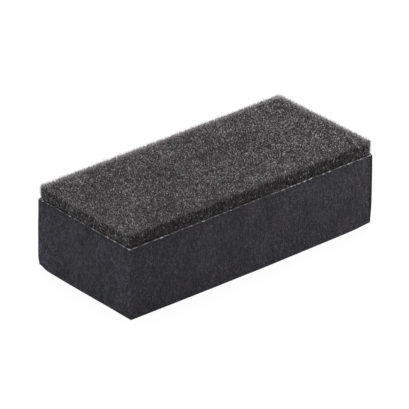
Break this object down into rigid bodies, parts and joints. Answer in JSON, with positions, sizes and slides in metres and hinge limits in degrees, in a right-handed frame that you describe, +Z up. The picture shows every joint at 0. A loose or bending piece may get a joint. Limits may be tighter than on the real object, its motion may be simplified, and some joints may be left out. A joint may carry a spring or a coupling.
{
  "type": "applicator sponge",
  "caption": "Hand-held applicator block: a dense rectangular foam grip with a short-pile fabric pad bonded to its working face.",
  "frame": {"origin": "centre of the block's underside, on the surface that it rests on", "axes": "+X along the length, +Y across the width, +Z up from the underside to the pile"},
  "size_m": [0.09, 0.0414, 0.0269],
  "materials": {
    "foam": "matt, closed-cell foam",
    "adhesive": "pale, slightly glossy",
    "pile": "matt short pile"
  },
  "bodies": {
    "root": {"foam_block": "foam", "adhesive_film": "adhesive", "pile_pad": "pile"}
  },
  "joints": []
}
